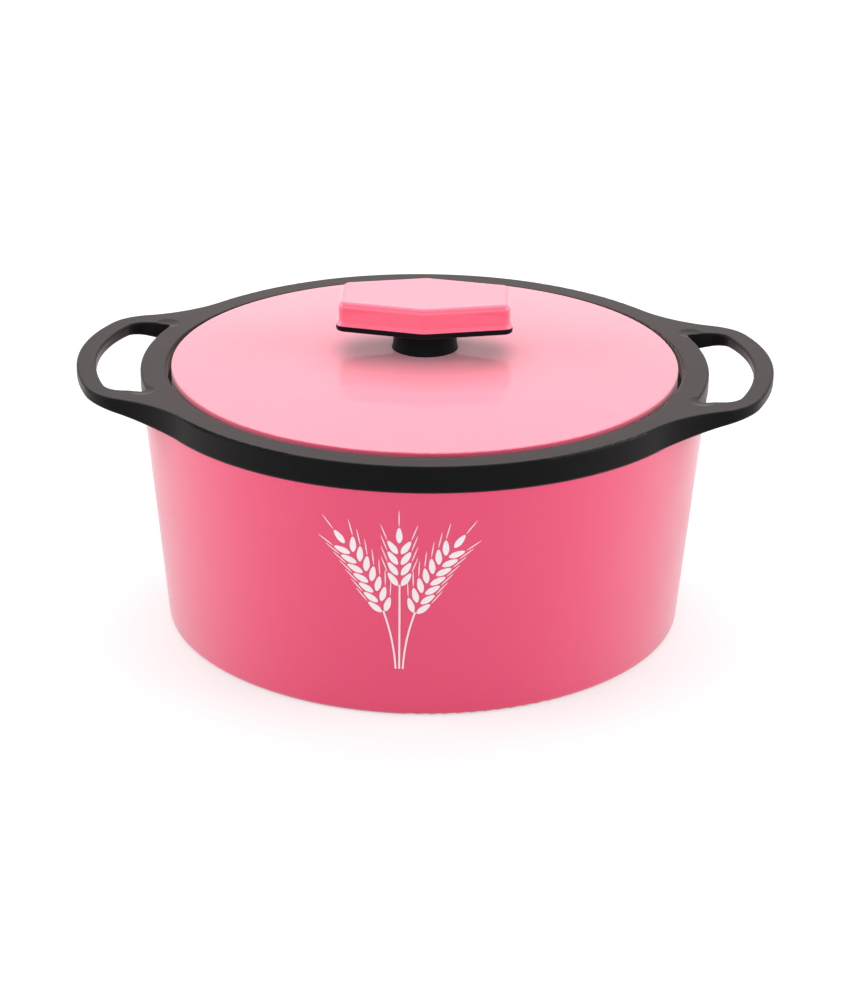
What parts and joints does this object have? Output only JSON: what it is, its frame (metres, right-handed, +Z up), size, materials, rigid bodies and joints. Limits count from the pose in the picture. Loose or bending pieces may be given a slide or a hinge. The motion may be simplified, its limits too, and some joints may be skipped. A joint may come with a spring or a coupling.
{
  "type": "insulated chapati casserole",
  "caption": "Round foam-insulated serving casserole with a steel bowl, loop handles on its rim collar and a knobbed lid that lifts off.",
  "frame": {"origin": "middle of the ring that the body stands on", "axes": "+Z up through the knob, +X through the two loop handles"},
  "size_m": [0.3064, 0.25, 0.1475],
  "materials": {
    "pink_shell": "satin",
    "pink_base": "satin",
    "pink_lid": "gloss",
    "pink_liner": "satin",
    "pink_cap": "gloss",
    "black_collar": "satin",
    "black_knob": "satin",
    "plug_plastic": "matte",
    "seal_silicone": "matte",
    "foam": "matte",
    "bowl_steel": "brushed",
    "screw_steel": "zinc plated"
  },
  "bodies": {
    "casserole": {"outer_shell": "pink_shell", "base_cover": "pink_base", "shell_plug": "plug_plastic", "body_insulation": "foam", "steel_bowl": "bowl_steel", "rim_collar": "black_collar"},
    "lid": {"lid_cover": "pink_lid", "lid_liner": "pink_liner", "lid_seal": "seal_silicone", "liner_plug": "plug_plastic", "lid_insulation": "foam", "knob_base": "black_knob", "knob_cap": "pink_cap", "knob_screws": "screw_steel", "knob_washers": "screw_steel"}
  },
  "joints": [
    {"name": "lid_lift", "type": "slide", "parent": "casserole", "child": "lid", "axis": [0, 0, 1], "range_m": [0, 0.15]}
  ]
}
